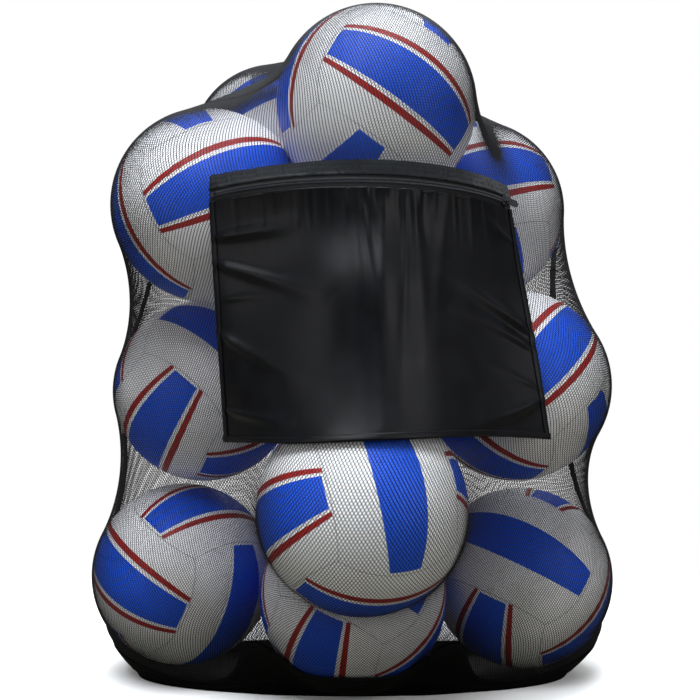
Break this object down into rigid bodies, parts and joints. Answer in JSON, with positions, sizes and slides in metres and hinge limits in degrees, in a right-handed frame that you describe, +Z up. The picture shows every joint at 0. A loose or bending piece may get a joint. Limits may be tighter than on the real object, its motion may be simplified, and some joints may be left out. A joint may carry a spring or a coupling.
{
  "type": "mesh ball bag",
  "caption": "Mesh ball bag packed with volleyballs: tight net sack with a front zip pocket, flat base, drawcord neck with cord lock and a carrying strap behind.",
  "frame": {"origin": "centre of the base panel's underside", "axes": "+Z up, -Y towards the pocket side, +X to the right seen from the pocket side"},
  "size_m": [0.6166, 0.576, 0.7615],
  "materials": {
    "net_cloth": "matte black polyester mesh",
    "nylon": "black coated nylon with a satin sheen",
    "webbing": "woven black polypropylene binding and webbing",
    "cord": "braided black cord",
    "ball_skin": "white, blue and red synthetic leather panels",
    "zip_tape": "woven zip tape",
    "zip_coil": "black nylon coil",
    "steel": "plated zip and spring metal",
    "black_plastic": "moulded black acetal"
  },
  "bodies": {
    "bag": {"ball_01": "ball_skin", "ball_02": "ball_skin", "ball_03": "ball_skin", "ball_04": "ball_skin", "ball_05": "ball_skin", "ball_06": "ball_skin", "ball_07": "ball_skin", "ball_08": "ball_skin", "ball_09": "ball_skin", "ball_10": "ball_skin", "ball_11": "ball_skin", "ball_12": "ball_skin", "net_back_panel": "net_cloth", "net_front_panel": "net_cloth", "side_binding_right": "webbing", "side_binding_left": "webbing", "base_panel": "nylon", "base_binding": "webbing", "neck_hem": "nylon", "drawcord": "cord", "cord_end_left": "black_plastic", "cord_end_right": "black_plastic", "zip_tape_upper": "zip_tape", "zip_tape_lower": "zip_tape", "zip_coil_upper": "zip_coil", "zip_coil_lower": "zip_coil", "zip_stop_left": "steel", "zip_stop_right": "steel", "pocket_front": "nylon", "pocket_hem_left": "nylon", "pocket_hem_right": "nylon", "pocket_hem_bottom": "nylon", "pocket_top_band": "nylon", "strap_anchor_top": "webbing", "strap_anchor_bottom": "webbing"},
    "zip_slider": {"zip_slider": "steel"},
    "zip_pull": {"zip_pull": "steel"},
    "cord_lock": {"cord_lock_body": "black_plastic", "cord_lock_spring": "steel"},
    "cord_lock_button": {"cord_lock_button": "black_plastic"},
    "strap": {"strap_webbing": "webbing"},
    "strap_adjuster": {"strap_adjuster": "black_plastic"}
  },
  "joints": [
    {"name": "zip_slide", "type": "hinge", "parent": "bag", "child": "zip_slider", "pos_m": [-0.01091, -0.06567, 0.52572], "axis": [-0.0181, 0.206, 0.9784], "range_deg": [-93, 0]},
    {"name": "zip_pull_flip", "type": "hinge", "parent": "zip_slider", "child": "zip_pull", "pos_m": [0.15903, -0.17704, 0.55231], "axis": [-0.0181, 0.206, 0.9784], "range_deg": [-160, 0]},
    {"name": "cord_lock_slide", "type": "slide", "parent": "bag", "child": "cord_lock", "axis": [0, 0, 1], "range_m": [-0.12, 0]},
    {"name": "cord_lock_press", "type": "slide", "parent": "cord_lock", "child": "cord_lock_button", "axis": [-1, 0, 0], "range_m": [0, 0.004], "stiffness_N_per_m": 800, "deforming": ["cord_lock_spring"]},
    {"name": "strap_swing", "type": "hinge", "parent": "bag", "child": "strap", "pos_m": [0.12, 0.11826, 0.606], "axis": [0, 0.0222, 0.9998], "range_deg": [-25, 25]},
    {"name": "strap_adjuster_slide", "type": "slide", "parent": "strap", "child": "strap_adjuster", "axis": [0, 0, 1], "range_m": [0, 0.12]}
  ]
}
